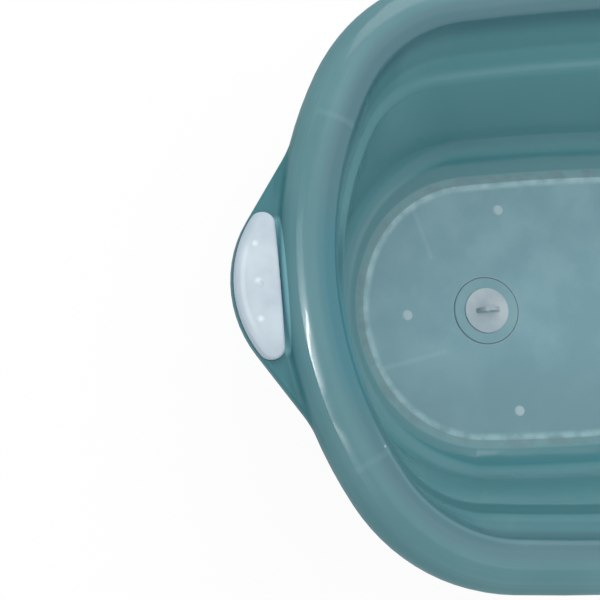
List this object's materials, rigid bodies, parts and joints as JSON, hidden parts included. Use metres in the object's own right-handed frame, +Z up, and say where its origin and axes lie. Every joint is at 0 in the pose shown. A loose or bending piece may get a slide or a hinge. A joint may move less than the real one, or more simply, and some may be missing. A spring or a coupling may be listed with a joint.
{
  "type": "baby bathtub",
  "caption": "Translucent oval baby bathtub with a rolled rim, a half-moon lug with a soft grip at each end, a sloping head end, a plugged floor drain and rubber feet",
  "frame": {"origin": "bottom centre of the whole tub's box, on the surface that its feet stand on", "axes": "X runs along the tub with the foot end and its drain at -X and the sloping head end at +X, Y runs across, Z is up"},
  "size_m": [0.8498, 0.5, 0.25],
  "materials": {
    "tub_plastic": "translucent teal polypropylene, smooth and glossy",
    "soft_grip": "satin pale blue thermoplastic elastomer",
    "fitting_plastic": "satin pale grey polypropylene",
    "seal_rubber": "matt pale grey soft seal rubber",
    "foot_rubber": "matt pale thermoplastic elastomer"
  },
  "bodies": {
    "tub": {"tub_shell": "tub_plastic", "left_grip": "soft_grip", "right_grip": "soft_grip", "drain_outlet": "tub_plastic", "drain_gasket": "seal_rubber", "drain_nut": "fitting_plastic", "foot_left_end": "foot_rubber", "foot_right_end": "foot_rubber", "foot_front_left": "foot_rubber", "foot_front_right": "foot_rubber", "foot_back_left": "foot_rubber", "foot_back_right": "foot_rubber"},
    "plug": {"stopper": "fitting_plastic", "stopper_seal": "seal_rubber"}
  },
  "joints": [
    {"name": "stopper_lift", "type": "slide", "parent": "tub", "child": "plug", "axis": [0, 0, 1], "range_m": [0, 0.045]}
  ]
}
